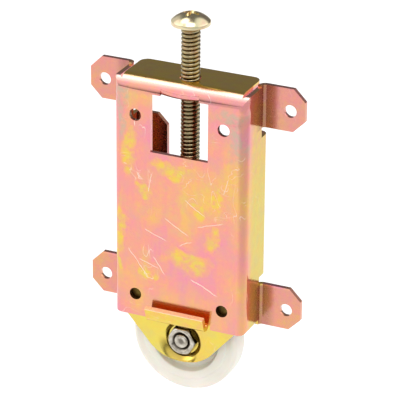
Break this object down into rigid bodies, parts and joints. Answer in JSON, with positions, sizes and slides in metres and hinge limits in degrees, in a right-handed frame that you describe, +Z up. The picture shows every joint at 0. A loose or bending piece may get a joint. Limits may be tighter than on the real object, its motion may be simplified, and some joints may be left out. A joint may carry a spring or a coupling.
{
  "type": "sliding door roller",
  "caption": "Height-adjustable sliding door roller: a stamped housing with screw ears, a screw-driven carriage and a nylon wheel on a ball bearing.",
  "frame": {"origin": "centre of the four ear holes, on the rear face of the ears", "axes": "+X across the plate, +Y from the plate to the ears' rear face and on into the door, +Z up along the slide"},
  "size_m": [0.058, 0.0167, 0.1015],
  "materials": {
    "yellow_zinc": "iridescent yellow zinc plate, scuffed",
    "yellow_zinc_carriage": "yellow zinc plate",
    "yellow_zinc_screw": "olive gold zinc plate",
    "bright_steel": "bright zinc plate",
    "bearing_steel": "ground",
    "nylon": "moulded, satin",
    "cage_plastic": "moulded"
  },
  "bodies": {
    "housing": {"housing": "yellow_zinc"},
    "carriage": {"carriage": "yellow_zinc_carriage", "axle_bolt": "bright_steel", "axle_nut": "bright_steel", "axle_spacer_front": "bright_steel", "axle_spacer_rear": "bright_steel", "bearing_inner_ring": "bearing_steel", "screw_thrust_washer": "bright_steel"},
    "screw": {"adjusting_screw": "yellow_zinc_screw", "screw_retaining_clip": "bright_steel"},
    "wheel": {"wheel_tyre": "nylon", "bearing_outer_ring": "bearing_steel", "bearing_shield_front": "bearing_steel", "bearing_shield_rear": "bearing_steel"},
    "bearing_cage": {"bearing_cage": "cage_plastic", "bearing_balls": "bearing_steel"}
  },
  "joints": [
    {"name": "carriage_slide", "type": "slide", "parent": "housing", "child": "carriage", "axis": [0, 0, 1], "range_m": [-0.0135, 0.014]},
    {"name": "screw_turn", "type": "hinge", "parent": "carriage", "child": "screw", "pos_m": [0, -0.00465, 0], "axis": [0, 0, 1], "range_deg": [-4594, 4764]},
    {"name": "wheel_spin", "type": "hinge", "parent": "carriage", "child": "wheel", "pos_m": [0, -0.00441, -0.0374], "axis": [0, 1, 0], "continuous": true},
    {"name": "cage_spin", "type": "hinge", "parent": "carriage", "child": "bearing_cage", "pos_m": [0, -0.00441, -0.0374], "axis": [0, 1, 0], "continuous": true}
  ],
  "couplings": [
    {"joint": "screw_turn", "follows": "carriage_slide", "rad_per_m": 5937.1},
    {"joint": "cage_spin", "follows": "wheel_spin", "ratio": 0.625}
  ]
}
